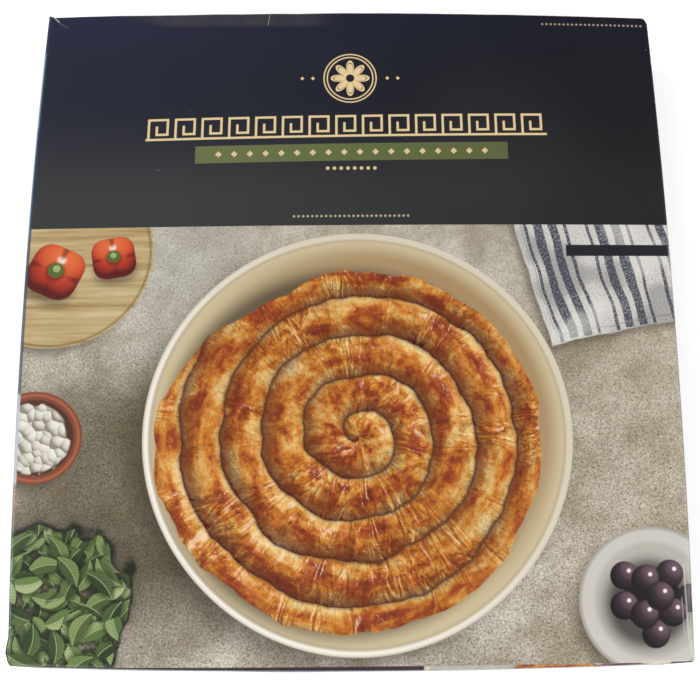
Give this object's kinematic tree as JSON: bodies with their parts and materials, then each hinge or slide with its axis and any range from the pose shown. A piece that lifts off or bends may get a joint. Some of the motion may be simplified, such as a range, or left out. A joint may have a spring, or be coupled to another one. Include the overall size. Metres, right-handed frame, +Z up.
{
  "type": "closed printed carton for a frozen spiral pie",
  "caption": "Shut, flat paperboard carton with a dark header, a pie picture panel, glued end flaps and softly bowed edges, lying on its back.",
  "frame": {"origin": "on the resting surface, under the middle of the carton", "axes": "+Z up out of the printed front panel, +Y towards the panel's top edge, +X towards its right edge"},
  "size_m": [0.287, 0.3002, 0.045],
  "materials": {
    "printed_board": "semi-gloss coated and printed paperboard, raw grey fibre at the cut edges"
  },
  "bodies": {
    "root": {"carton": "printed_board"}
  },
  "joints": []
}
